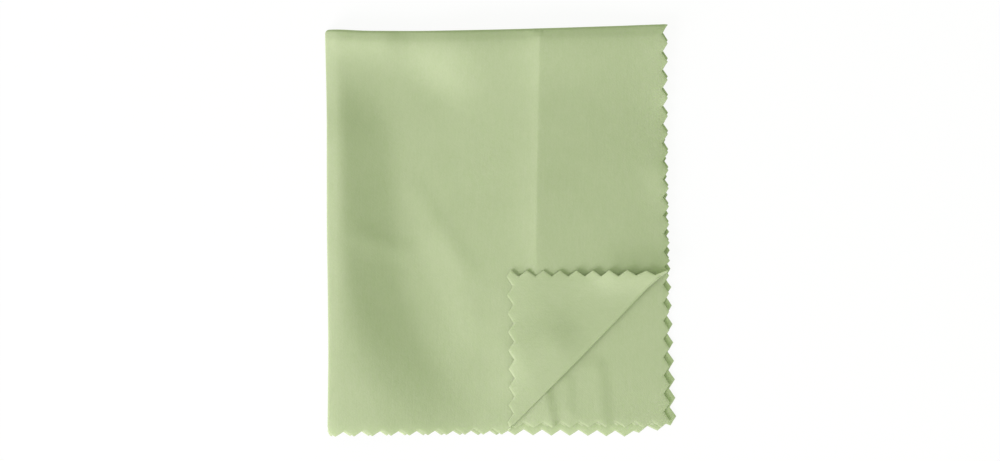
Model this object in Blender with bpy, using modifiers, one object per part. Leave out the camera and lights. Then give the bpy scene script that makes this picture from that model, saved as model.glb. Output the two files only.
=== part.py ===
"""Microfibre lens cloth, pinked all round, folded in quarters with one corner turned back.

The cut sheet is laid out flat and given its thickness. Its points are then bent over three
creases: first over the top crease, then over the left crease, and last the top layer's free
corner is turned back over a slanting crease. Soft relief lifts the stack where the cloth is
puffy or creased. Metres, +Z up, the underside of the lowest layer on z = 0.
"""
import math
from collections import namedtuple

import bpy
import numpy as np
from mathutils import Vector
from mathutils.geometry import delaunay_2d_cdt

# Cut sheet
CUT_WIDTH = 0.1524
CUT_LENGTH = 0.1778
THICKNESS = 0.0010
LAYER_GAP = 0.00035
LAYER_PITCH = THICKNESS + LAYER_GAP

# Creases: the top one is bent first, the left one wraps both layers
TOP_RADIUS = LAYER_PITCH / 2
LEFT_RADIUS = 3 * LAYER_PITCH / 2
TOP_LAYER_HEIGHT = 2 * LEFT_RADIUS  # middle of the top layer above the middle of the lowest
TOP_BEND = math.pi * TOP_RADIUS
LEFT_BEND = math.pi * LEFT_RADIUS
OUTER_LENGTH = 0.0883               # top crease to the free edge, outer half
INNER_LENGTH = CUT_LENGTH - OUTER_LENGTH
LOWER_WIDTH = 0.0730                # left crease to the free edge, two lower layers
UPPER_WIDTH = CUT_WIDTH - LOWER_WIDTH

# Pinked edge. The sides run counter-clockwise from the corner that is turned back. Each station
# is a tooth's number along its side and its distance from the side's start, and half a number
# is the notch between two teeth.
TOOTH_DEPTH = 0.0013
SLANT_ACROSS = 0.0097               # the lowest layer's free corner is cut at a slant
SLANT_START_UP = 0.0007
SLANT_END_UP = 0.0020
Station = namedtuple("Station", "tooth distance")
SIDES = {
    "outer end": (
        Station(tooth=0, distance=0.00145),
        Station(tooth=20, distance=0.08175),
        Station(tooth=35.5, distance=0.14305),
    ),
    "slanting corner": (
        Station(tooth=0, distance=0.00156),
        Station(tooth=1.5, distance=0.00759),
    ),
    "lower free side": (
        Station(tooth=-0.5, distance=0.00066),
        Station(tooth=43.5, distance=0.17547),
    ),
    "inner end": (
        Station(tooth=0, distance=0.0018),
        Station(tooth=37, distance=0.1504),
    ),
    "upper free side": (
        Station(tooth=0, distance=0.0015),
        Station(tooth=7, distance=0.0293),
        Station(tooth=21, distance=0.0846),
        Station(tooth=23, distance=0.0930),
        Station(tooth=35, distance=0.1398),
        Station(tooth=39, distance=0.1555),
        Station(tooth=45, distance=0.1769),
    ),
}

# Turned-back corner of the top layer
FLAP_ANCHOR = (0.0550, -0.0687)     # a point on its crease: across, then below the top crease
FLAP_ANGLE = math.radians(45.7)     # its crease, from the lower left to the upper right
FLAP_RADIUS_LOW = 0.00072
FLAP_RADIUS_HIGH = 0.00105
FLAP_HALF_SPAN = 0.024              # anchor to where the crease is flattest or puffiest
FLAP_ROW_REACH = 0.040              # anchor to either end of the crease, with some to spare
FLAP_SETTLE = 0.012                 # how far from its crease the corner comes down

# How far each layer's free side stands to the right at the top crease and at the bottom, the
# power of the curve between, and how far its free corner stands up
Shift = namedtuple("Shift", "right_at_top right_at_bottom power up")
SHIFTS = {
    "lowest layer": Shift(right_at_top=-0.0016, right_at_bottom=0.0019, power=1, up=-0.0003),
    "third layer": Shift(right_at_top=-0.0016, right_at_bottom=-0.0016, power=1, up=0.0014),
    "second layer": Shift(right_at_top=-0.00025, right_at_bottom=0.0003, power=1, up=0.0010),
    "top layer": Shift(right_at_top=-0.00025, right_at_bottom=0.00125, power=2, up=0.0),
}

# Skew of the whole stack, laid down by hand
TOP_RISE = 0.00155                  # the top crease climbs towards the free edge
TOP_RISE_START = 0.018              # across, where it starts to climb
TOP_RISE_POWER = 1.5
CORNER_RISE = 0.0003                # and it lifts a little at the upper left corner
CORNER_RISE_WIDTH = 0.0045
BOTTOM_BOW = 0.0004                 # the lower edge is drawn in at its middle
LeftEdge = namedtuple("LeftEdge", "down right")
LEFT_EDGE = (
    LeftEdge(down=0.0, right=0.0),
    LeftEdge(down=0.020, right=0.0004),
    LeftEdge(down=0.042, right=0.00045),
    LeftEdge(down=0.070, right=0.0008),
    LeftEdge(down=0.089, right=0.00055),
)

# Puffed roll beside the left crease: full height up to fall_start, nothing beyond fall_end
Roll = namedtuple("Roll", "down height fall_start fall_end")
ROLL = (
    Roll(down=0.0, height=0.0002, fall_start=0.002, fall_end=0.0100),
    Roll(down=0.008, height=0.0004, fall_start=0.002, fall_end=0.0100),
    Roll(down=0.022, height=0.0024, fall_start=0.002, fall_end=0.0125),
    Roll(down=0.058, height=0.0030, fall_start=0.003, fall_end=0.0150),
    Roll(down=0.076, height=0.0030, fall_start=0.009, fall_end=0.0220),
    Roll(down=0.090, height=0.0022, fall_start=0.012, fall_end=0.0400),
)

# Soft ridges, seen from above: from point a to point b, with half width and height
Ridge = namedtuple("Ridge", "across_a down_a across_b down_b width height")
STACK_RIDGES = {
    "puff at the upper left corner": Ridge(0.0010, 0.0012, 0.0130, 0.0012, 0.0044, 0.0011),
    "upper bump by the free edge": Ridge(0.0700, 0.009, 0.0700, 0.012, 0.0050, 0.0005),
    "lower bump by the free edge": Ridge(0.0690, 0.030, 0.0690, 0.032, 0.0050, 0.0005),
}
TOP_LAYER_RIDGES = {
    "lift under the end of the flap": Ridge(0.0690, 0.057, 0.0725, 0.053, 0.0065, 0.0009),
}
FLAP_RIDGES = {
    "soft bump on the flap": Ridge(0.0430, 0.071, 0.0455, 0.069, 0.0060, 0.0008),
    "flare of the flap's upper edge": Ridge(0.0610, 0.048, 0.0710, 0.049, 0.0065, 0.0010),
}

# Terraces: the stack climbs over the width of a line from a to b, on that line's upper right,
# and sinks back over the fade length
Terrace = namedtuple("Terrace", "across_a down_a across_b down_b width fade height")
TERRACES = {
    "slant at the top": Terrace(0.0175, 0.0025, 0.0295, 0.012, 0.012, 0.024, 0.0017),
    "side of the valley": Terrace(0.0190, 0.042, 0.0285, 0.068, 0.009, 0.026, 0.0007),
}

TOP_PUFF = 0.0009                   # swelling of the stack at its top crease
TOP_PUFF_REACH = 0.011

# Storage crease: a pressed line down the cloth, its crest sharp except on the flap
CREASE_ACROSS = 0.0438
CREASE_HEIGHT = 0.0006
CREASE_WIDTH = 0.0040
CREASE_BASE = 0.0012                # general rise of the stack at this line
CREASE_BASE_WIDTH = 0.030
CREASE_SOFTENED = 0.007             # radius of its crest on the flap

# Spacing of the mesh
ACROSS_STEP = 0.0050
DOWN_STEP = 0.0062
EDGE_MARGIN = 0.0030                # free edge to the first inner row
TOOTH_MARGIN = 0.0018               # free edge to a row of the flap's crease
LEFT_BEND_STEPS = 10
TOP_BEND_STEPS = 6
FLAP_BEND_STEPS = 8
FLAP_ROW_STEP = 0.0028
FLAP_ROW_CLEARANCE = 0.0012
SHORTEST_SHARE = 0.04               # no extra point nearer than this share to a tooth's end
DELAUNAY_TOLERANCE = 1e-7

CLOTH_COLOUR = (0.44, 0.52, 0.29, 1.0)
CLOTH_ROUGHNESS = 0.9
EDGE_ANGLE = math.radians(50)


def clear_scene():
    for item in list(bpy.data.objects):
        bpy.data.objects.remove(item, do_unlink=True)


def smooth(value):
    """Ease from 0 to 1 as value goes from 0 to 1."""
    held = min(max(value, 0.0), 1.0)
    return held * held * (3.0 - 2.0 * held)


def read_table(table, column, at):
    """Value of a column at a place between the table's rows, whose first column is the place."""
    places = [row[0] for row in table]
    return float(np.interp(at, places, [getattr(row, column) for row in table]))


# ---------------------------------------------------------------- folding
def bend_over(past, height, radius):
    """Bend a sheet up and over a crease; past is the distance beyond the crease."""
    if past <= 0.0:
        return past, height
    reach = radius - height
    turn = past / radius
    if turn < math.pi:
        return reach * math.sin(turn), radius - reach * math.cos(turn)
    return math.pi * radius - past, 2.0 * radius - height


def stack_height(across, along, height):
    """Bend a point of the cut sheet over the top crease, then over the left crease."""
    level, height = bend_over(along, height, TOP_RADIUS)
    left, height = bend_over(-across, height, LEFT_RADIUS)
    return Vector((-left, level)), height


def layer_of(flat):
    if flat.x >= 0.0:
        return "lowest layer" if flat.y <= 0.0 else "third layer"
    return "second layer" if flat.y > 0.0 else "top layer"


def shift_layer(spot, flat):
    """Let a layer drift from the two creases that hold it."""
    shift = SHIFTS[layer_of(flat)]
    share_across = max(spot.x, 0.0) / LOWER_WIDTH
    share_down = max(-spot.y, 0.0) / OUTER_LENGTH
    run = shift.right_at_bottom - shift.right_at_top
    right = shift.right_at_top + run * share_down ** shift.power
    return spot + share_across * Vector((right, shift.up * share_down))


def in_top_layer(flat):
    return flat.x < -LEFT_BEND and flat.y < 0.0


def flap_directions():
    along = Vector((math.cos(FLAP_ANGLE), math.sin(FLAP_ANGLE)))
    outward = Vector((math.sin(FLAP_ANGLE), -math.cos(FLAP_ANGLE)))
    return along, outward


def flap_radius(reach):
    """Radius of the slanting crease, puffier towards its upper end."""
    share = smooth(0.5 + 0.5 * reach / FLAP_HALF_SPAN)
    return FLAP_RADIUS_LOW + (FLAP_RADIUS_HIGH - FLAP_RADIUS_LOW) * share


def turn_corner_back(spot, height):
    """Turn the top layer's corner back; height is above the middle of that layer."""
    along, outward = flap_directions()
    offset = spot - Vector(FLAP_ANCHOR)
    past = offset.dot(outward)
    if past <= 0.0:
        return spot, height, 0.0
    radius = flap_radius(offset.dot(along))
    moved, raised = bend_over(past, height, radius)
    turned = min(past / (math.pi * radius), 1.0)
    if turned == 1.0:
        raised -= (2.0 * radius - LAYER_PITCH) * (1.0 - math.exp(moved / FLAP_SETTLE))
    return spot + (moved - past) * outward, raised, turned


def skew(spot):
    share_across = min(max(spot.x / LOWER_WIDTH, 0.0), 1.0)
    share_down = min(max(-spot.y / OUTER_LENGTH, 0.0), 1.0)
    climb = max(spot.x - TOP_RISE_START, 0.0) / (LOWER_WIDTH - TOP_RISE_START)
    rise = TOP_RISE * climb ** TOP_RISE_POWER
    rise += CORNER_RISE * math.exp(-(spot.x / CORNER_RISE_WIDTH) ** 2)
    bow = BOTTOM_BOW * 4.0 * share_across * (1.0 - share_across) * share_down ** 2
    right = read_table(LEFT_EDGE, "right", -spot.y) * (1.0 - share_across)
    return spot + Vector((right, rise * (1.0 - share_down) + bow))


def folded_point(flat):
    """Place in the folded cloth of a point of the flat sheet, z counted from its middle."""
    spot, height = stack_height(flat.x, flat.y, flat.z)
    middle = stack_height(flat.x, flat.y, 0.0)[1]
    spot = shift_layer(spot, flat)
    turned = 0.0
    if in_top_layer(flat):
        spot, height, turned = turn_corner_back(spot, height - TOP_LAYER_HEIGHT)
        height += TOP_LAYER_HEIGHT
    top_share = smooth((middle - TOP_LAYER_HEIGHT + LAYER_PITCH) / LAYER_PITCH)
    lift = middle / TOP_LAYER_HEIGHT * stack_relief(spot, turned)
    lift += top_share * ridge_height(TOP_LAYER_RIDGES, spot)
    lift += turned * ridge_height(FLAP_RIDGES, spot)
    spot = skew(spot)
    return Vector((spot.x, spot.y, THICKNESS / 2 + height + lift))


# ---------------------------------------------------------------- relief
def ridge_height(ridges, spot):
    total = 0.0
    for ridge in ridges.values():
        start = Vector((ridge.across_a, -ridge.down_a))
        run = Vector((ridge.across_b, -ridge.down_b)) - start
        share = min(max((spot - start).dot(run) / run.length_squared, 0.0), 1.0)
        away = (spot - start - share * run).length / ridge.width
        total += ridge.height * math.exp(-away * away)
    return total


def terrace_height(spot):
    total = 0.0
    for terrace in TERRACES.values():
        start = Vector((terrace.across_a, -terrace.down_a))
        run = Vector((terrace.across_b, -terrace.down_b)) - start
        length = run.length
        run.normalize()
        along = (spot - start).dot(run)
        past = (spot - start).dot(Vector((-run.y, run.x)))
        ends = smooth(0.5 + along / terrace.width) * smooth(0.5 + (length - along) / terrace.width)
        climb = smooth(0.5 + past / terrace.width) * math.exp(-max(past, 0.0) / terrace.fade)
        total += terrace.height * ends * climb
    return total


def roll_height(spot):
    down = -spot.y
    start = read_table(ROLL, "fall_start", down)
    end = read_table(ROLL, "fall_end", down)
    return read_table(ROLL, "height", down) * (1.0 - smooth((spot.x - start) / (end - start)))


def crease_height(spot, turned):
    off = spot.x - CREASE_ACROSS
    softened = turned * CREASE_SOFTENED
    away = math.hypot(off, softened) - softened
    crest = CREASE_HEIGHT * math.exp(-away / CREASE_WIDTH)
    return crest + CREASE_BASE * math.exp(-away / CREASE_BASE_WIDTH)


def stack_relief(spot, turned):
    """How much thicker the whole stack is at a place; each layer takes its share."""
    relief = ridge_height(STACK_RIDGES, spot) + terrace_height(spot)
    relief += roll_height(spot) + crease_height(spot, turned)
    return relief + TOP_PUFF * math.exp(-(spot.y / TOP_PUFF_REACH) ** 2)


# ---------------------------------------------------------------- flat layout
def pinked_side(start, end, stations):
    """Zigzag along a side, counter-clockwise, with the tips of its teeth on the cut line."""
    run = (end - start).normalized()
    inward = Vector((-run.y, run.x))
    points = []
    for half in range(round(2 * stations[0].tooth), round(2 * stations[-1].tooth) + 1):
        point = start + run * read_table(stations, "distance", half / 2)
        is_notch = half % 2 == 1
        points.append(point + inward * TOOTH_DEPTH if is_notch else point)
    return points


def side_ends():
    left, right = -UPPER_WIDTH, LOWER_WIDTH
    slant = right - SLANT_ACROSS
    slant_end = SLANT_END_UP - OUTER_LENGTH
    return (
        (Vector((left, -OUTER_LENGTH)), Vector((slant, -OUTER_LENGTH))),
        (Vector((slant, SLANT_START_UP - OUTER_LENGTH)), Vector((right, slant_end))),
        (Vector((right, slant_end)), Vector((right, INNER_LENGTH))),
        (Vector((right, INNER_LENGTH)), Vector((left, INNER_LENGTH))),
        (Vector((left, INNER_LENGTH)), Vector((left, -OUTER_LENGTH))),
    )


def crossings(first, second, value_of, lines):
    """Where a straight edge crosses lines of equal value, as shares of its length."""
    start = value_of(first)
    end = value_of(second)
    if abs(end - start) < DELAUNAY_TOLERANCE:
        return []
    shares = [(line - start) / (end - start) for line in lines]
    return [share for share in shares if SHORTEST_SHARE < share < 1.0 - SHORTEST_SHARE]


def bend_lines():
    left = [-LEFT_BEND * step / LEFT_BEND_STEPS for step in range(LEFT_BEND_STEPS + 1)]
    top = [TOP_BEND * step / TOP_BEND_STEPS for step in range(TOP_BEND_STEPS + 1)]
    return left, top


def flap_offset(flat):
    """Along the slanting crease and past it, for a point of the top layer."""
    spot = shift_layer(Vector((-flat.x - LEFT_BEND, flat.y)), flat)
    along, outward = flap_directions()
    offset = spot - Vector(FLAP_ANCHOR)
    return offset.dot(along), offset.dot(outward)


def flap_turn(flat):
    """Distance past the slanting crease, counted in whole bends."""
    reach, past = flap_offset(flat)
    return past / (math.pi * flap_radius(reach))


def outline():
    """Pinked outline of the cut sheet, with extra points where it passes over a bend."""
    zigzag = []
    for (start, end), stations in zip(side_ends(), SIDES.values()):
        zigzag += pinked_side(start, end, stations)
    left, top = bend_lines()
    turns = [step / FLAP_BEND_STEPS for step in range(FLAP_BEND_STEPS + 1)]
    points = []
    for index, first in enumerate(zigzag):
        second = zigzag[(index + 1) % len(zigzag)]
        shares = crossings(first, second, lambda point: point.x, left)
        shares += crossings(first, second, lambda point: point.y, top)
        if in_top_layer(first) and in_top_layer(second):
            shares += crossings(first, second, flap_turn, turns)
        points.append(first)
        points += [first.lerp(second, share) for share in sorted(shares)]
    return points


def spread(start, end, step):
    """Evenly spaced values between start and end, no further apart than step."""
    count = max(1, math.ceil(abs(end - start) / step))
    return [start + (end - start) * index / count for index in range(count + 1)]


def grid_points():
    """Inner points of the sheet, in the same places on all four layers."""
    across = spread(0.0, CREASE_ACROSS, ACROSS_STEP)[1:]
    across += spread(CREASE_ACROSS, LOWER_WIDTH - EDGE_MARGIN, ACROSS_STEP)[1:]
    down = spread(0.0, OUTER_LENGTH - EDGE_MARGIN, DOWN_STEP)[1:]
    left, top = bend_lines()
    columns = [-LEFT_BEND - place for place in across] + left + across
    rows = [-place for place in down] + top + [TOP_BEND + place for place in down]
    points = [Vector((column, row)) for column in columns for row in rows]
    return [point for point in points if not near_flap_crease(point)]


def near_flap_crease(flat):
    if not in_top_layer(flat):
        return False
    reach, past = flap_offset(flat)
    bend = math.pi * flap_radius(reach)
    return -FLAP_ROW_CLEARANCE < past < bend + FLAP_ROW_CLEARANCE


def flat_place(spot):
    """Point of the flat sheet that lies at a spot of the top layer, before its corner is turned."""
    place = spot.copy()
    for repeat in range(3):
        place += spot - shift_layer(place, Vector((-place.x - LEFT_BEND, place.y)))
    return Vector((-place.x - LEFT_BEND, place.y))


def flap_rows():
    """Rows of points along the slanting crease, close together across its bend."""
    along, outward = flap_directions()
    points = []
    for reach in spread(-FLAP_ROW_REACH, FLAP_ROW_REACH, FLAP_ROW_STEP):
        bend = math.pi * flap_radius(reach)
        for step in range(FLAP_BEND_STEPS + 1):
            past = bend * step / FLAP_BEND_STEPS
            point = flat_place(Vector(FLAP_ANCHOR) + reach * along + past * outward)
            if clear_of_teeth(point):
                points.append(point)
    return points


def clear_of_teeth(flat):
    return flat.x > TOOTH_MARGIN - UPPER_WIDTH and flat.y > TOOTH_MARGIN - OUTER_LENGTH


# ---------------------------------------------------------------- cloth
def flat_triangles():
    border = outline()
    points = border + grid_points() + flap_rows()
    loop = list(range(len(border)))
    result = delaunay_2d_cdt(points, [], [loop], 1, DELAUNAY_TOLERANCE)
    return result[0], result[2]


def centre_of_footprint(points):
    middle_x = (min(point.x for point in points) + max(point.x for point in points)) / 2
    middle_y = (min(point.y for point in points) + max(point.y for point in points)) / 2
    return Vector((middle_x, middle_y, 0.0))


def flat_sheet(collection):
    """The cut sheet, flat and with its thickness, its middle on z = 0."""
    points, triangles = flat_triangles()
    mesh = bpy.data.meshes.new("cut sheet")
    mesh.from_pydata([point.to_3d() for point in points], [], triangles)
    sheet = bpy.data.objects.new("cut sheet", mesh)
    collection.objects.link(sheet)
    body = sheet.modifiers.new("cloth thickness", "SOLIDIFY")
    body.thickness = THICKNESS
    body.offset = 0.0
    bpy.context.view_layer.update()
    ready = sheet.evaluated_get(bpy.context.evaluated_depsgraph_get())
    thick = bpy.data.meshes.new_from_object(ready)
    bpy.data.objects.remove(sheet, do_unlink=True)
    return thick


def make_material():
    material = bpy.data.materials.new("pale_green_microfibre")
    material.use_nodes = True
    shader = material.node_tree.nodes["Principled BSDF"]
    shader.inputs["Base Color"].default_value = CLOTH_COLOUR
    shader.inputs["Roughness"].default_value = CLOTH_ROUGHNESS
    shader.inputs["Metallic"].default_value = 0.0
    return material


def make_cloth(collection):
    mesh = flat_sheet(collection)
    mesh.name = "microfibre_cloth"
    points = [folded_point(vertex.co) for vertex in mesh.vertices]
    centre = centre_of_footprint(points)
    for vertex, point in zip(mesh.vertices, points):
        vertex.co = point - centre
    mesh.materials.append(make_material())
    mesh.shade_smooth()
    mesh.set_sharp_from_angle(angle=EDGE_ANGLE)
    cloth = bpy.data.objects.new("microfibre_cloth", mesh)
    collection.objects.link(cloth)
    return cloth


def main():
    clear_scene()
    collection = bpy.data.collections.new("microfibre_cloth")
    bpy.context.scene.collection.children.link(collection)
    make_cloth(collection)


main()
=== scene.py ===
import math

import bpy
import numpy as np
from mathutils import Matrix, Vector, noise
from mathutils.geometry import delaunay_2d_cdt


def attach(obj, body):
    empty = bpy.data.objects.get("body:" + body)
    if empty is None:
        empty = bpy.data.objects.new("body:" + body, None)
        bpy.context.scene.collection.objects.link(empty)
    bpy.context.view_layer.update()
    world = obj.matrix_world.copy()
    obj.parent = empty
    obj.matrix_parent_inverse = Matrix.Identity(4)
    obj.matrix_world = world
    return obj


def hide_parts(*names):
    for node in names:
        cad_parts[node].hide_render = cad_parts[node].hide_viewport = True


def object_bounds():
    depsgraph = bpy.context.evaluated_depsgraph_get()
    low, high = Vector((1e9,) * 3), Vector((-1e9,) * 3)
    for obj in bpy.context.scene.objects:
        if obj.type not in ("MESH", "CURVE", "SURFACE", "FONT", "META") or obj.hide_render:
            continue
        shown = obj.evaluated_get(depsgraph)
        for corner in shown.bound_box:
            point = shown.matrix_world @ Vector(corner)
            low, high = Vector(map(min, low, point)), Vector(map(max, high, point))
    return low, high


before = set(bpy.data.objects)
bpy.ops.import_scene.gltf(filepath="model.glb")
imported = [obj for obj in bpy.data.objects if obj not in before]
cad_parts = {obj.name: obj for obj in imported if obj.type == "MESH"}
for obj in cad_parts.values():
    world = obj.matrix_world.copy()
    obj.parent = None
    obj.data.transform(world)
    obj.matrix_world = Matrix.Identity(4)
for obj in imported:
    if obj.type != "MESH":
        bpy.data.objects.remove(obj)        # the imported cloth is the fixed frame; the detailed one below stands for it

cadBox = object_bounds()
print("frame loaded:", sorted(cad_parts))

# Lengths are in millimetres until the mesh is made. "Across" counts from the left fold to the
# right, and "down" from the top fold towards the viewer, on the folded cloth as it lies.
mm = 0.001

# The folded cloth: how it is cut, how it is folded, the relief left in it, and its mesh
clothSettings = {
    "cut": {
        "width": 152.4,
        "length": 177.8,
        "thickness": 0.22,
        "toothDepth": 1.3,           # pinking shears
        "slantAcross": 9.7,          # the lowest layer's free corner is cut at a slant
        "slantUp": (0.7, 2.0),
        "edgeStep": 0.36,            # spacing of points along the cut
        "edgeWander": 0.05,          # how far the cut strays
        "wanderSeed": 2,
        "wanderScale": 0.8,
        "wanderSlice": 5.0,
        "rimWidths": (0.2, 0.45),    # rows inside the cut, where the cloth thins out
        "rimFullness": (0.4, 0.8),   # thickness at the cut and at the first row
        # teeth counted along each side, and how far along they are; a half is the notch between two
        "sides": {
            "outerEnd": ((0, 1.45), (20, 81.75), (35.5, 143.05)),
            "slantingCorner": ((0, 1.56), (1.5, 7.59)),
            "lowerFreeSide": ((-0.5, 0.66), (43.5, 175.47)),
            "innerEnd": ((0, 1.8), (37, 150.4)),
            "upperFreeSide": (
                (0, 1.5), (7, 29.3), (21, 84.63), (23, 92.98), (35, 139.8),
                (36, 142.5), (36.5, 144.9), (37, 147.1), (39, 155.2), (45, 176.9),
            ),
        },
    },
    "folding": {
        "layerPitch": 1.35,          # the folds are made round, then pressed to pressedPitch
        "pressedPitch": 0.26,
        "outerLength": 88.3,         # top fold to the free edge, outer half
        "lowerWidth": 73.0,          # left fold to the free edge, two lower layers
        "leftFoldReach": 1.15,       # how far the left fold stands out
        "leftFoldRoundness": 0.06,   # below 1 it is squarer
        "cornerAt": (55.24, 68.92),  # a point on the turned corner's fold: across, down
        "cornerAngle": 45.7,
        "cornerReach": 1.2,
        "cornerRadii": (0.16, 0.30),
        "cornerHalfSpan": 24.0,
        "cornerPitch": 0.22,         # turned corner above the layer it lies on
        "cornerSettles": 12.0,       # distance over which it comes down to that
        "cornerFlick": (17.0, 0.017),    # its fold swings outwards near the free side
        "cornerSlack": 1.65,         # cloth taken up by the puff of the turned corner
        "cornerSlackReach": 2.5,
        "topRise": 1.55,             # the top fold climbs towards the free side
        "topRiseStart": 18.0,
        "topRisePower": 1.5,
        "topLeftRise": 0.30,         # and a little at its left end
        "topLeftReach": 4.5,
        "bottomBow": 0.40,           # the lower edge is drawn in at its middle
        # how far each layer's free side stands to the right at the top fold and at the bottom,
        # how that curves, and how far the bottom corner there stands up
        "layerShifts": {
            "lowest": (-1.6, 1.9, 1.0, -0.3),
            "third": (-1.6, -1.6, 1.0, 1.4),
            "second": (-0.25, 0.3, 1.0, 1.0),
            "top": (-0.25, 1.25, 2.0, 0.0),
        },
        "leftEdge": {
            "down": (0.0, 20.0, 42.0, 55.0, 70.0, 89.0),
            "shift": (0.0, 0.40, 0.45, 0.65, 0.82, 0.55),
        },
    },
    "relief": {
        # soft ridges, each along a line: across, down, across, down, width, height
        "stackRidges": {
            "topLeftPuff": (1.0, -0.5, 10.0, -0.5, 3.8, 0.95),
            "topMiddlePuff": (17.0, 0.0, 54.0, 0.0, 7.5, 0.35),
            "rollWaist": (5.0, 44.5, 14.0, 47.5, 2.5, 0.22),
            "middleSlant": (17.0, 34, 29.0, 53, 2.2, 0.12),
            "upperEdgeBump": (73.5, 14, 73.5, 15, 3.2, 0.36),
            "lowerEdgeBump": (71.5, 31.5, 71.5, 33, 3.6, 0.36),
        },
        "topLayerRidges": {          # shared by the top layer and its turned corner
            "liftUnderCornerFold": (61.5, 52.8, 73.0, 52.5, 3.8, 0.72),
            "softBump": (40.5, 70, 46.0, 68, 6.0, 0.50),
            "lowBump": (38.0, 76, 42.0, 75, 4.5, 0.22),
        },
        "cornerRidges": {            # on the turned corner alone
            "bumpOnTop": (41.0, 70, 46.5, 68, 6.0, 0.48),
            "flaredEdge": (57.0, 49.5, 72.0, 50, 5.0, 0.50),
        },
        # terraces, each rising on the upper right side of a line: across, down, across, down,
        # width of the rise, distance over which it fades beyond, height
        "stackTerraces": {
            "topSlant": (17.5, 2.5, 29.5, 12.0, 14.0, 24.0, 1.65),
            "valleySide": (19.0, 42.0, 28.5, 68.0, 9.0, 26.0, 0.50),
        },
        "secondLayerTerraces": {     # seen beside the turned corner
            "wrinkle": (48.6, 88.5, 46.2, 77.5, 1.6, 5.0, 0.35),
            "streak": (51.7, 84.0, 51.2, 75.0, 1.5, 5.0, 0.16),
            "blotch": (59.8, 87.0, 58.4, 72.0, 2.8, 6.0, 0.28),
        },
        "leftRoll": {                # the puffed roll beside the left fold, at stations down the cloth
            "down": (0.0, 8.0, 14.0, 22.0, 45.0, 58.0, 67.0, 76.0, 83.0, 90.0),
            "height": (0.1, 0.1, 0.7, 2.2, 3.0, 3.3, 3.5, 3.3, 2.6, 2.2),
            "fallStart": (0.8, 0.8, 0.8, 1.2, 1.45, 2.5, 4.2, 6.8, 8.2, 9.0),
            "fallEnd": (9.5, 9.2, 8.6, 11.4, 13.0, 14.8, 18.2, 23.0, 27.0, 31.0),
            "startSoftness": (0.5, 0.5, 0.3, 0.5, 0.6, 0.7, 1.3, 2.5, 3.5, 4.0),
            "endSoftness": (0.8, 0.8, 0.8, 0.9, 1.0, 1.2, 1.4, 1.8, 2.5, 3.0),
            "incline": (0.02, 0.14, 0.33, 0.27, 0.18, 0.16, 0.12, 0.05, 0.04, 0.10),
        },
        "inclineEnd": {"across": 0.5, "rounding": 0.35},
        "topFall": {"depth": 0.35, "reach": 0.8},       # how the stack sinks at the very top fold
        "topPuff": {"height": 0.65, "reach": 8.0},      # and swells just below it
        "bottomFall": {"depth": 0.35, "reach": 2.2},    # and how it thins at the lower edge
        "edgeGather": {              # near the free edges the lower layers bunch up under the rest
            "reach": 8.0,
            "drop": 2.3,
            "share": 1.1,
            "fading": 1.5,           # from the lowest layer upwards
            "right": 75.0,
        },
        "storageCrease": {           # a pressed line: the sheet rises to it and falls away beyond it
            "across": 43.8,
            "lean": 0.018,           # across for each millimetre up from leanFrom
            "leanFrom": 48.0,
            "level": 0.45,           # between the roll and the rise
            "riseStart": 14.0,
            "riseSoftness": 2.0,
            "rise": 0.035,
            "height": 0.50,
            "width": 3.0,
            "sharpness": 0.2,
            "softened": 7.0,         # on the turned corner, which lies over it
            "down": (0.0, 8.0, 17.0, 35.0, 50.0, 70.0, 90.0),
            "fall": (0.045, 0.055, 0.066, 0.060, 0.052, 0.050, 0.050),
            "share": (1.0, 1.0, 1.0, 1.0, 0.9, 0.5, 0.2),    # it fades towards the lower edge
        },
        "ripples": {"broad": (14.0, 0.09, 0.0), "small": (5.0, 0.03, 3.7)},    # wavelength, height, slice
        "smoothing": {"samples": 361, "window": 21, "passes": 3},    # between stations
    },
    "mesh": {
        "fine": 1.0,                 # spacing of points in the two upper layers
        "coarse": 2.2,               # and in the two lower ones
        "margin": 2.3,               # free edge to the first inner row
        "leftBend": 28,              # rows over each bend
        "topBend": 10,
        "cornerBend": 14,
        "creaseRows": (-0.75, -0.45, -0.2, 0.0, 0.2, 0.45, 0.75),
        "cornerRun": 40.0,           # rows along the corner's fold, either way from cornerAt
        "cornerMargin": 1.9,
        "cornerClearance": 0.6,      # to the nearest other point
        "tolerance": 1e-5,
        "sharpAngle": 65.0,
    },
}
sheetCut = clothSettings["cut"]
folding = clothSettings["folding"]
relief = clothSettings["relief"]
meshSteps = clothSettings["mesh"]

# Derived lengths
topRadius = folding["layerPitch"] / 2
leftRadius = 3 * topRadius
topBend = math.pi * topRadius
leftBend = math.pi * leftRadius
topLayerHeight = 2 * leftRadius
pressing = topLayerHeight * (1 - folding["pressedPitch"] / folding["layerPitch"])
innerLength = sheetCut["length"] - folding["outerLength"]
upperWidth = sheetCut["width"] - folding["lowerWidth"]
cornerTurn = math.radians(folding["cornerAngle"])
cornerRun = (math.cos(cornerTurn), math.sin(cornerTurn))


def ease(share):
    held = np.clip(share, 0.0, 1.0)
    return held * held * (3.0 - 2.0 * held)


def softEdge(x, softness):       # 0 below zero, x above it
    return softness * np.logaddexp(0.0, x / softness)


# Folding: first over the top fold, then over the left fold, then the corner
def bendOver(past, height, radius, roundness=1.0):
    turn = np.clip(past / radius, 0.0, math.pi)
    reach = radius - height
    level = np.minimum(past, 0.0) + reach * np.sin(turn) - np.maximum(past - math.pi * radius, 0.0)
    rise = np.cos(turn)
    return level, radius - reach * np.sign(rise) * np.abs(rise) ** roundness


def stackUp(x, y, height):
    level, height = bendOver(y, height, topRadius)
    left, height = bendOver(-x, height, leftRadius, folding["leftFoldRoundness"])
    return -left - np.maximum(left, 0.0) * (folding["leftFoldReach"] - 1.0), level, height


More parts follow.
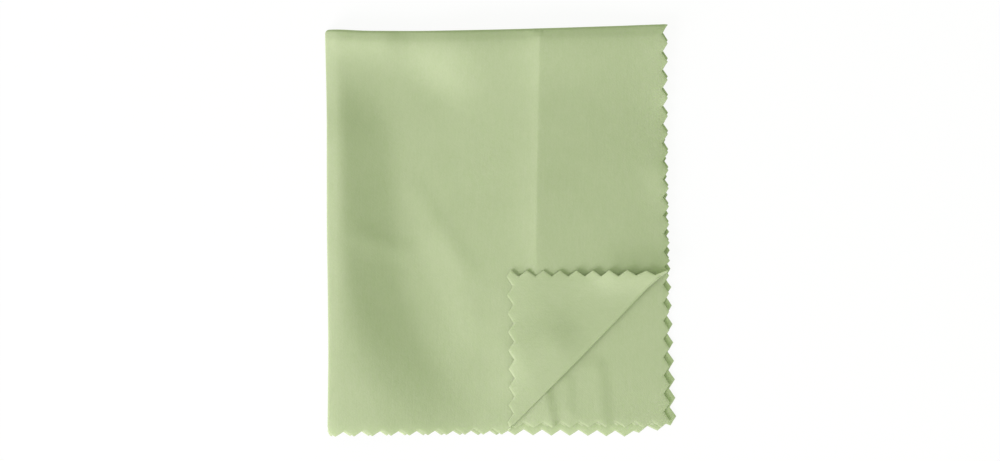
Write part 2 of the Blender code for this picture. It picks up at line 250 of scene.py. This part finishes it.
def cornerSwing(along):
    start, curve = folding["cornerFlick"]
    return curve * np.maximum(along - start, 0.0) ** 2


def cornerPlace(x, y):           # along the corner's fold, and past it
    east, north = x - folding["cornerAt"][0], y + folding["cornerAt"][1]
    along = east * cornerRun[0] + north * cornerRun[1]
    return along, east * cornerRun[1] - north * cornerRun[0] - cornerSwing(along)


def cornerRadius(along):
    low, high = folding["cornerRadii"]
    return low + (high - low) * ease(0.5 + 0.5 * along / folding["cornerHalfSpan"])


def turnCorner(x, y, height):
    along, past = cornerPlace(x, y)
    radius = cornerRadius(along)
    moved, raised = bendOver(past, height, radius)
    moved = moved + np.maximum(moved, 0.0) * (folding["cornerReach"] - 1.0) * (past > 0)
    turned = np.clip(past / (math.pi * radius), 0.0, 1.0)
    settling = 1.0 - np.exp(np.minimum(moved, 0.0) / folding["cornerSettles"])
    raised = raised - np.where(turned == 1.0, (2 * radius - folding["cornerPitch"]) * settling, 0.0)
    slack = folding["cornerSlack"] * (1.0 - np.exp(np.minimum(moved, 0.0) / folding["cornerSlackReach"]))
    moved = moved + np.where(turned == 1.0, slack, 0.0)
    back = moved - past
    return x + back * cornerRun[1], y - back * cornerRun[0], raised, turned


def shiftLayers(x, y, flatX, flatY):     # the layers lie a little askew on one another
    across = np.maximum(x, 0.0) / folding["lowerWidth"]
    down = np.maximum(-y, 0.0) / folding["outerLength"]
    lower, outer = flatX >= 0, flatY <= 0
    layers = {
        "lowest": lower & outer,
        "third": lower & ~outer,
        "second": ~lower & ~outer,
        "top": ~lower & outer,
    }
    right, up = np.zeros_like(x), np.zeros_like(x)
    for name, there in layers.items():
        atTop, atBottom, curve, lift = folding["layerShifts"][name]
        right = np.where(there, atTop + (atBottom - atTop) * down ** curve, right)
        up = np.where(there, lift * down, up)
    return x + right * across, y + up * across


def skewStack(x, y):
    across = np.clip(x / folding["lowerWidth"], 0.0, 1.0)
    down = np.clip(-y / folding["outerLength"], 0.0, 1.0)
    start = folding["topRiseStart"]
    climb = np.maximum(x - start, 0.0) / (folding["lowerWidth"] - start)
    rise = folding["topRise"] * climb ** folding["topRisePower"]
    rise = (rise + folding["topLeftRise"] * np.exp(-(x / folding["topLeftReach"]) ** 2)) * (1.0 - down)
    bow = folding["bottomBow"] * 4.0 * across * (1.0 - across) * down ** 2
    edge = between(-y, folding["leftEdge"]["down"], folding["leftEdge"]["shift"])
    return x + edge * (1.0 - across), y + rise + bow


# Relief: how high the pressed stack stands at a place
def between(at, stations, values):          # values at the stations, joined smoothly
    smoothing = relief["smoothing"]
    window = smoothing["window"]
    fine = np.linspace(stations[0], stations[-1], smoothing["samples"])
    curve = np.interp(fine, stations, values)
    for step in range(smoothing["passes"]):
        curve = np.convolve(np.pad(curve, window // 2, "edge"), np.full(window, 1 / window), "valid")
    return np.interp(at, fine, curve)


def ridgeHeight(ridges, x, y):
    total = np.zeros_like(x)
    for acrossA, downA, acrossB, downB, width, height in ridges.values():
        runX, runY = acrossB - acrossA, downA - downB
        share = ((x - acrossA) * runX + (y + downA) * runY) / (runX ** 2 + runY ** 2)
        share = np.clip(share, 0.0, 1.0)
        away = (x - acrossA - share * runX) ** 2 + (y + downA - share * runY) ** 2
        total += height * np.exp(-away / width ** 2)
    return total


def terraceHeight(terraces, x, y):
    total = np.zeros_like(x)
    for acrossA, downA, acrossB, downB, width, fading, height in terraces.values():
        run = Vector((acrossB - acrossA, downA - downB))
        length = run.length
        run.normalize()
        along = (x - acrossA) * run.x + (y + downA) * run.y
        past = (y + downA) * run.x - (x - acrossA) * run.y
        ends = ease(0.5 + along / width) * ease(0.5 + (length - along) / width)
        total += height * ends * ease(0.5 + past / width) * np.exp(-np.maximum(past, 0.0) / fading)
    return total


def rollHeight(x, y):
    roll, slope = relief["leftRoll"], relief["inclineEnd"]
    names = ("height", "fallStart", "fallEnd", "startSoftness", "endSoftness", "incline")
    stations = (between(-y, roll["down"], roll[name]) for name in names)
    height, start, end, early, late, incline = stations
    fallen = (softEdge(x - start, early) - softEdge(x - end, late)) / (end - start)
    return height * (1.0 - fallen) - incline * softEdge(slope["across"] - x, slope["rounding"])


def creaseLean(y):
    crease = relief["storageCrease"]
    return crease["lean"] * np.maximum(y + crease["leanFrom"], 0.0)


def creaseHeight(x, y, turned):
    crease = relief["storageCrease"]
    off = x - crease["across"] - creaseLean(y)
    sharpness = crease["sharpness"] + turned * crease["softened"]
    soft = np.sqrt(off ** 2 + sharpness ** 2) - sharpness
    reach = crease["across"] - crease["riseStart"]
    top = crease["level"] + crease["rise"] * reach
    before = crease["level"] + crease["rise"] * softEdge(reach - soft, crease["riseSoftness"])
    before += crease["height"] * np.exp(-soft / crease["width"])
    fall, share = (between(-y, crease["down"], crease[name]) for name in ("fall", "share"))
    return share * np.where(off < 0, before, top + crease["height"] - fall * soft)


def rippleHeight(x, y):
    total = np.zeros_like(x)
    for wavelength, height, sliceAt in relief["ripples"].values():
        places = zip(x / wavelength, y / wavelength)
        total += height * np.array([noise.noise(Vector((u, v, sliceAt))) for u, v in places])
    return total


def stackRelief(x, y, turned):
    puff, fall, thinning = relief["topPuff"], relief["topFall"], relief["bottomFall"]
    total = ridgeHeight(relief["stackRidges"], x, y) + terraceHeight(relief["stackTerraces"], x, y)
    total += rollHeight(x, y) + creaseHeight(x, y, turned)
    total += puff["height"] * np.exp(-(y / puff["reach"]) ** 2)
    total -= fall["depth"] * np.exp(np.minimum(y, 0.0) / fall["reach"])
    total -= thinning["depth"] * np.exp(-(y + folding["outerLength"]) / thinning["reach"])
    return total


def gathering(x, y, layerShare):         # share of a layer's pitch that it is lifted by
    gather = relief["edgeGather"]
    toEdge = np.minimum(y + folding["outerLength"], gather["right"] - x)
    gathered = ease(1.0 - toEdge / gather["reach"]) * np.clip(toEdge / gather["drop"], 0.0, 1.0)
    return gathered * (gather["share"] * np.maximum(1.0 - gather["fading"] * layerShare, 0.0))


def foldSheet(flatX, flatY, height):
    x, y, z = stackUp(flatX, flatY, height)
    middle = stackUp(flatX, flatY, np.zeros_like(height))[2]
    x, y = shiftLayers(x, y, flatX, flatY)
    topLayer = (flatX < -leftBend) & (flatY < 0.0)
    cornerX, cornerY, cornerZ, turned = turnCorner(x, y, z - topLayerHeight)
    x = np.where(topLayer, cornerX, x)
    y = np.where(topLayer, cornerY, y)
    z = np.where(topLayer, cornerZ + topLayerHeight, z)
    turned = np.where(topLayer, turned, 0.0)
    layerShare = middle / topLayerHeight
    pitch = folding["layerPitch"]
    topShare = ease((middle - topLayerHeight + pitch) / pitch)
    secondShare = ease((middle - topLayerHeight + 2 * pitch) / pitch)
    stack = stackRelief(x, y, turned)
    z = z + layerShare * (stack - pressing)
    z = z + gathering(x, y, layerShare) * (topLayerHeight + stack - pressing) / 3
    z = z + (secondShare - topShare) * terraceHeight(relief["secondLayerTerraces"], x, y)
    z = z + topShare * ridgeHeight(relief["topLayerRidges"], x, y)
    z = z + turned * ridgeHeight(relief["cornerRidges"], x, y)
    z = z + layerShare * rippleHeight(x, y)
    x, y = skewStack(x, y)
    return x, y, z + sheetCut["thickness"] / 2


# The flat cut sheet
def pinkedSide(start, end, stations):
    run = (end - start) / np.linalg.norm(end - start)
    inward = np.array((-run[1], run[0]))
    numbers, distances = zip(*stations)
    halves = np.arange(round(2 * numbers[0]), round(2 * numbers[-1]) + 1)
    zigzag = start + np.outer(np.interp(halves / 2, numbers, distances), run)
    zigzag[halves % 2 == 1] += inward * sheetCut["toothDepth"]
    return zigzag


def sideEnds():
    bottom, left, right = -folding["outerLength"], -upperWidth, folding["lowerWidth"]
    slantStart, slantEnd = sheetCut["slantUp"]
    slantX = right - sheetCut["slantAcross"]
    ends = (
        ((left, bottom), (slantX, bottom)),
        ((slantX, bottom + slantStart), (right, bottom + slantEnd)),
        ((right, bottom + slantEnd), (right, innerLength)),
        ((right, innerLength), (left, innerLength)),
        ((left, innerLength), (left, bottom)),
    )
    return np.array(ends)


def cutLine():
    sides = [pinkedSide(*ends, side) for ends, side in zip(sideEnds(), sheetCut["sides"].values())]
    zigzag = np.concatenate(sides)
    points = []
    for start, end in zip(zigzag, np.roll(zigzag, -1, axis=0)):
        pieces = max(1, round(np.linalg.norm(end - start) / sheetCut["edgeStep"]))
        points += [start + (end - start) * step / pieces for step in range(pieces)]
    points = np.array(points)
    places = points * sheetCut["wanderScale"]
    noise.seed_set(sheetCut["wanderSeed"])        # or noise_vector is seeded by the clock
    wander = [noise.noise_vector(Vector((x, y, sheetCut["wanderSlice"]))).xy for x, y in places]
    return points + sheetCut["edgeWander"] * np.array(wander)


def insetLoop(loop, distance):   # the same loop, moved inwards with mitred corners
    before = loop - np.roll(loop, 1, axis=0)
    after = np.roll(loop, -1, axis=0) - loop
    normals = []
    for run in (before, after):
        run = run / np.linalg.norm(run, axis=1)[:, None]
        normals.append(np.stack((-run[:, 1], run[:, 0]), axis=1))
    mitre = normals[0] + normals[1]
    return loop + distance * 2 * mitre / (mitre ** 2).sum(axis=1)[:, None]


def spread(start, end, step):
    return np.linspace(start, end, max(1, math.ceil(abs(end - start) / step)) + 1)


def gridPoints():
    margin = meshSteps["margin"]
    bottom, top = margin - folding["outerLength"], innerLength - margin
    left, right = margin - upperWidth, folding["lowerWidth"] - margin
    points = []
    for columns, step in (
        (spread(left, -leftBend, meshSteps["fine"])[:-1], meshSteps["fine"]),
        (np.linspace(-leftBend, 0.0, meshSteps["leftBend"] + 1), meshSteps["fine"]),
        (spread(0.0, right, meshSteps["coarse"])[1:], meshSteps["coarse"]),
    ):
        rows = np.concatenate((
            spread(bottom, 0.0, step)[:-1],
            np.linspace(0.0, topBend, meshSteps["topBend"] + 1),
            spread(topBend, top, step)[1:],
        ))
        x, y = np.meshgrid(columns, rows)
        points.append(np.stack((x.ravel(), y.ravel()), axis=1))
    crease = -leftBend - relief["storageCrease"]["across"]      # close rows on both sides of it
    near = np.array(meshSteps["creaseRows"]) + crease
    x, y = np.meshgrid(near, spread(bottom, top, meshSteps["fine"]))
    x -= np.where(y < 0.0, creaseLean(y), creaseLean(0.0))
    points.append(np.stack((x.ravel(), y.ravel()), axis=1))
    return np.concatenate(points)


def cornerRows():                # rows along the turned corner's fold, close together over its bend
    points = []
    reach = meshSteps["cornerRun"]
    for along in spread(-reach, reach, meshSteps["fine"]):
        bend = math.pi * cornerRadius(along)
        for past in cornerSwing(along) + np.linspace(0.0, bend, meshSteps["cornerBend"] + 1):
            x = folding["cornerAt"][0] + along * cornerRun[0] + past * cornerRun[1]
            y = -folding["cornerAt"][1] + along * cornerRun[1] - past * cornerRun[0]
            points.append((-x - leftBend, y))
    points = np.array(points)
    margin = meshSteps["cornerMargin"]
    inside = (points[:, 0] > margin - upperWidth) & (points[:, 1] > margin - folding["outerLength"])
    return points[inside & (points[:, 0] < -leftBend) & (points[:, 1] < 0.0)]


def clearOfCorner(points):
    along, past = cornerPlace(-points[:, 0] - leftBend, points[:, 1])
    clearance = meshSteps["cornerClearance"]
    over = (past > -clearance) & (past < math.pi * cornerRadius(along) + clearance)
    topLayer = (points[:, 0] < -leftBend) & (points[:, 1] < 0.0)
    return points[~(over & topLayer)]


def flatSheet():
    outline = cutLine()
    rims = [insetLoop(outline, width) for width in sheetCut["rimWidths"]]
    inner = np.concatenate((clearOfCorner(gridPoints()), cornerRows()))
    points = np.concatenate((outline, *rims, inner))
    fullness = np.ones(len(points))
    fullness[:len(outline)] = sheetCut["rimFullness"][0]
    fullness[len(outline):2 * len(outline)] = sheetCut["rimFullness"][1]
    loop = list(range(len(outline)))
    vectors = [Vector(point) for point in points]
    result = delaunay_2d_cdt(vectors, [], [loop], 1, meshSteps["tolerance"])    # 1: inside the loop
    flat = np.array([tuple(place) for place in result[0]])
    source = np.array([first[0] for first in result[3]])
    placeOf = {given: made for made, given in enumerate(source)}
    rim = [placeOf[index] for index in loop]
    return flat, np.array(result[2]), fullness[source], rim


def setAttribute(mesh, name, kind, values):
    layer = mesh.attributes.new(name, kind, "POINT")
    layer.data.foreach_set("vector" if kind == "FLOAT_VECTOR" else "value", np.ravel(values))


def makeCloth():
    flat, triangles, fullness, rim = flatSheet()
    count = len(flat)
    print("flat sheet:", count, "points,", len(triangles), "triangles a side")
    halfThickness = fullness * sheetCut["thickness"] / 2
    flatX = np.tile(flat[:, 0], 2)
    flatY = np.tile(flat[:, 1], 2)
    height = np.concatenate((halfThickness, -halfThickness))
    x, y, z = foldSheet(flatX, flatY, height)
    places = np.stack((x, y, z), axis=1) * mm
    low, high = cadBox
    places[:, 0] += high.x - places[:, 0].max()       # cut edges meet the frame's
    places[:, 1] += low.y - places[:, 1].min()
    places[:, 2] -= places[:, 2].min()
    nextRim = rim[1:] + rim[:1]
    walls = [(a + count, b + count, b, a) for a, b in zip(rim, nextRim)]
    faces = triangles.tolist() + (triangles[:, ::-1] + count).tolist() + walls
    mesh = bpy.data.meshes.new("microfibreCloth")
    mesh.from_pydata(places.tolist(), [], faces)
    sheetPlace = np.stack((flatX, flatY, np.sign(height)), axis=1)      # the weave follows it
    setAttribute(mesh, "sheetPlace", "FLOAT_VECTOR", sheetPlace)
    mesh.shade_smooth()
    mesh.set_sharp_from_angle(angle=math.radians(meshSteps["sharpAngle"]))
    cloth = bpy.data.objects.new("foldedCloth", mesh)
    bpy.context.scene.collection.objects.link(cloth)
    print("folded cloth:", len(faces), "faces")
    return cloth


# Material: matt pale green micro-suede. Lengths are in millimetres on the flat sheet.
microfibreFinish = {
    "paleColour": (0.475, 0.549, 0.334),
    "deepColour": (0.430, 0.514, 0.290),
    "contrast": {"From Min": 0.32, "From Max": 0.68},
    "weavePitch": 0.38,
    "ribs": {"DIAGONAL": (1.0, 0.444), "X": (0.8, 0.314)},    # share of the pitch, scale at 1 mm
    "ribWaviness": {"Distortion": 1.2, "Detail": 2.0, "Detail Scale": 2.5},
    "ribPaleness": 0.18,
    "ribHeight": 0.35,           # against the nap's
    "bumpHeight": 0.02,
    # noise: scale across the sheet, detail, scale down it as a share of that, share in the colour
    "nap": (1.0 / 0.3, 4.0, 0.55, 0.5),
    "brushed": (0.9, 3.0, 0.35, 0.3),
    "mottle": (0.11, 2.0, 1.0, 0.2),
    "roughness": {"To Min": 0.82, "To Max": 0.96},    # it follows the brushed streaks
    "shader": {
        "Metallic": 0.0,
        "IOR": 1.45,
        "Specular IOR Level": 0.25,
        "Sheen Weight": 0.25,
        "Sheen Roughness": 0.45,
        "Sheen Tint": (0.93, 1.0, 0.82, 1.0),
        "Subsurface Weight": 0.2,    # light that passes through the thin cloth
        "Subsurface Radius": (0.8, 1.0, 0.6),
        "Subsurface Scale": mm,
    },
}


def makeMicrofibre():
    finish = microfibreFinish
    material = bpy.data.materials.new("paleGreenMicrofibre")
    material.use_nodes = True
    nodes = material.node_tree.nodes
    links = material.node_tree.links
    shader = nodes["Principled BSDF"]
    place = nodes.new("ShaderNodeAttribute")
    place.attribute_name = "sheetPlace"

    def add(kind, **settings):
        node = nodes.new(kind)
        for name, value in settings.items():
            if hasattr(node, name):
                setattr(node, name, value)
            else:
                node.inputs[name].default_value = value
        return node

    def noiseAt(scale, detail, stretch):
        mapping = add("ShaderNodeMapping", Scale=(1.0, stretch, 1.0))
        links.new(place.outputs["Vector"], mapping.inputs["Vector"])
        texture = add("ShaderNodeTexNoise", Scale=scale, Detail=detail)
        links.new(mapping.outputs["Vector"], texture.inputs["Vector"])
        return texture.outputs["Fac"]

    def ribsAlong(direction, pitchShare, unitScale):
        scale = unitScale / (finish["weavePitch"] * pitchShare)
        bands = {"wave_type": "BANDS", "bands_direction": direction}
        wave = add("ShaderNodeTexWave", Scale=scale, **bands, **finish["ribWaviness"])
        links.new(place.outputs["Vector"], wave.inputs["Vector"])
        return wave.outputs["Fac"]

    def rangeNode(value, limits):
        node = add("ShaderNodeMapRange", **limits)
        links.new(value, node.inputs["Value"])
        return node.outputs["Result"]

    def mathNode(operation, a, b):
        node = add("ShaderNodeMath", operation=operation)
        for socket, value in zip(node.inputs, (a, b)):
            if isinstance(value, (int, float)):
                socket.default_value = value
            else:
                links.new(value, socket)
        return node.outputs[0]

    def mixColour(factor, a, b):
        node = add("ShaderNodeMix", data_type="RGBA")
        for socket, value in ((node.inputs[0], factor), (node.inputs[6], a), (node.inputs[7], b)):
            if isinstance(value, tuple):
                socket.default_value = (*value, 1.0)
            else:
                links.new(value, socket)
        return node.outputs[2]

    # twill: two crossing sets of fine ribs
    ribs = [ribsAlong(direction, *rib) for direction, rib in finish["ribs"].items()]
    weave = mathNode("MULTIPLY", *ribs)
    layers = {name: noiseAt(*finish[name][:3]) for name in ("nap", "brushed", "mottle")}
    shares = {name: mathNode("MULTIPLY", layers[name], finish[name][3]) for name in layers}
    shade = mathNode("ADD", mathNode("ADD", shares["nap"], shares["brushed"]), shares["mottle"])
    shade = rangeNode(shade, finish["contrast"])
    colour = mixColour(shade, finish["deepColour"], finish["paleColour"])
    ribShade = mathNode("MULTIPLY", weave, finish["ribPaleness"])
    colour = mixColour(ribShade, colour, finish["paleColour"])
    links.new(colour, shader.inputs["Base Color"])
    links.new(rangeNode(layers["brushed"], finish["roughness"]), shader.inputs["Roughness"])

    threads = mathNode("ADD", mathNode("MULTIPLY", weave, finish["ribHeight"]), layers["nap"])
    bump = add("ShaderNodeBump", Strength=1.0, Distance=finish["bumpHeight"] * mm)
    links.new(threads, bump.inputs["Height"])
    links.new(bump.outputs["Normal"], shader.inputs["Normal"])
    for name, value in finish["shader"].items():
        shader.inputs[name].default_value = value
    print("microfibre finish:", len(nodes), "nodes")
    return material


# Stage: a pale floor, a soft key light and an even fill, in metres
paperFloor = {
    "size": 8.0,
    "drop": 0.00002,             # just clear of the cloth
    "albedo": 0.08,
    "glow": 0.92,
}


def makeFloor():
    half = paperFloor["size"] / 2
    corners = [(-half, -half, 0), (half, -half, 0), (half, half, 0), (-half, half, 0)]
    mesh = bpy.data.meshes.new("studioFloor")
    mesh.from_pydata(corners, [], [(0, 1, 2, 3)])
    floor = bpy.data.objects.new("studioFloor", mesh)
    bpy.context.scene.collection.objects.link(floor)
    floor.location.z = -paperFloor["drop"]
    paper = bpy.data.materials.new("whitePaper")
    paper.use_nodes = True
    shader = paper.node_tree.nodes["Principled BSDF"]
    shader.inputs["Base Color"].default_value = (paperFloor["albedo"],) * 3 + (1.0,)
    shader.inputs["Roughness"].default_value = 1.0
    shader.inputs["Specular IOR Level"].default_value = 0.0
    shader.inputs["Emission Color"].default_value = (1.0, 1.0, 1.0, 1.0)
    shader.inputs["Emission Strength"].default_value = paperFloor["glow"]
    mesh.materials.append(paper)
    floor.visible_diffuse = False        # the pale floor glows for the eye and doesn't light the cloth
    floor.visible_glossy = False
    return floor


studioLight = {
    "azimuth": 225.0,            # from the lower left of the picture
    "elevation": 16.0,
    "distance": 1.6,
    "size": 1.0,
    "power": 37.5,
    "colour": (1.11, 1.0, 1.23),
    "fill": 0.675,
    "fillColour": (0.91, 1.0, 0.79),
}


def makeLights():
    azimuth = math.radians(studioLight["azimuth"])
    elevation = math.radians(studioLight["elevation"])
    level = math.cos(elevation)
    towards = Vector((level * math.cos(azimuth), level * math.sin(azimuth), math.sin(elevation)))
    light = bpy.data.lights.new("softKey", "AREA")
    light.shape = "SQUARE"
    light.size = studioLight["size"]
    light.energy = studioLight["power"]
    light.color = studioLight["colour"]
    key = bpy.data.objects.new("softKey", light)
    key.location = towards * studioLight["distance"]
    key.rotation_mode = "QUATERNION"
    key.rotation_quaternion = towards.to_track_quat("Z", "Y")
    bpy.context.scene.collection.objects.link(key)
    world = bpy.data.worlds.new("whiteStudio")
    world.use_nodes = True
    background = world.node_tree.nodes["Background"]
    background.inputs["Color"].default_value = (*studioLight["fillColour"], 1.0)
    background.inputs["Strength"].default_value = studioLight["fill"]
    bpy.context.scene.world = world


# Camera: straight above, in metres. The picture's centre lies fromRight and fromBottom in from
# the cloth's right and lower edges.
viewpoint = {
    "lens": 150.0,
    "sensor": 36.0,
    "viewWidth": 0.2195,
    "planeHeight": 0.002,
    "fromRight": 0.03875,
    "fromBottom": 0.04534,
    "farthest": 50.0,
}


def makeCamera():
    lens = bpy.data.cameras.new("photoCamera")
    lens.lens = viewpoint["lens"]
    lens.sensor_width = viewpoint["sensor"]
    lens.clip_end = viewpoint["farthest"]
    distance = viewpoint["viewWidth"] * viewpoint["lens"] / viewpoint["sensor"]
    camera = bpy.data.objects.new("photoCamera", lens)
    low, high = cadBox
    camera.location.x = high.x - viewpoint["fromRight"]
    camera.location.y = low.y + viewpoint["fromBottom"]
    camera.location.z = viewpoint["planeHeight"] + distance
    bpy.context.scene.collection.objects.link(camera)
    bpy.context.scene.camera = camera


cloth = makeCloth()
cloth.data.materials.append(makeMicrofibre())
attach(cloth, "root")
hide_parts("microfibre_cloth")
floor = makeFloor()
makeLights()
makeCamera()
bpy.context.scene.view_settings.view_transform = "Standard"
print("stage and camera ready")
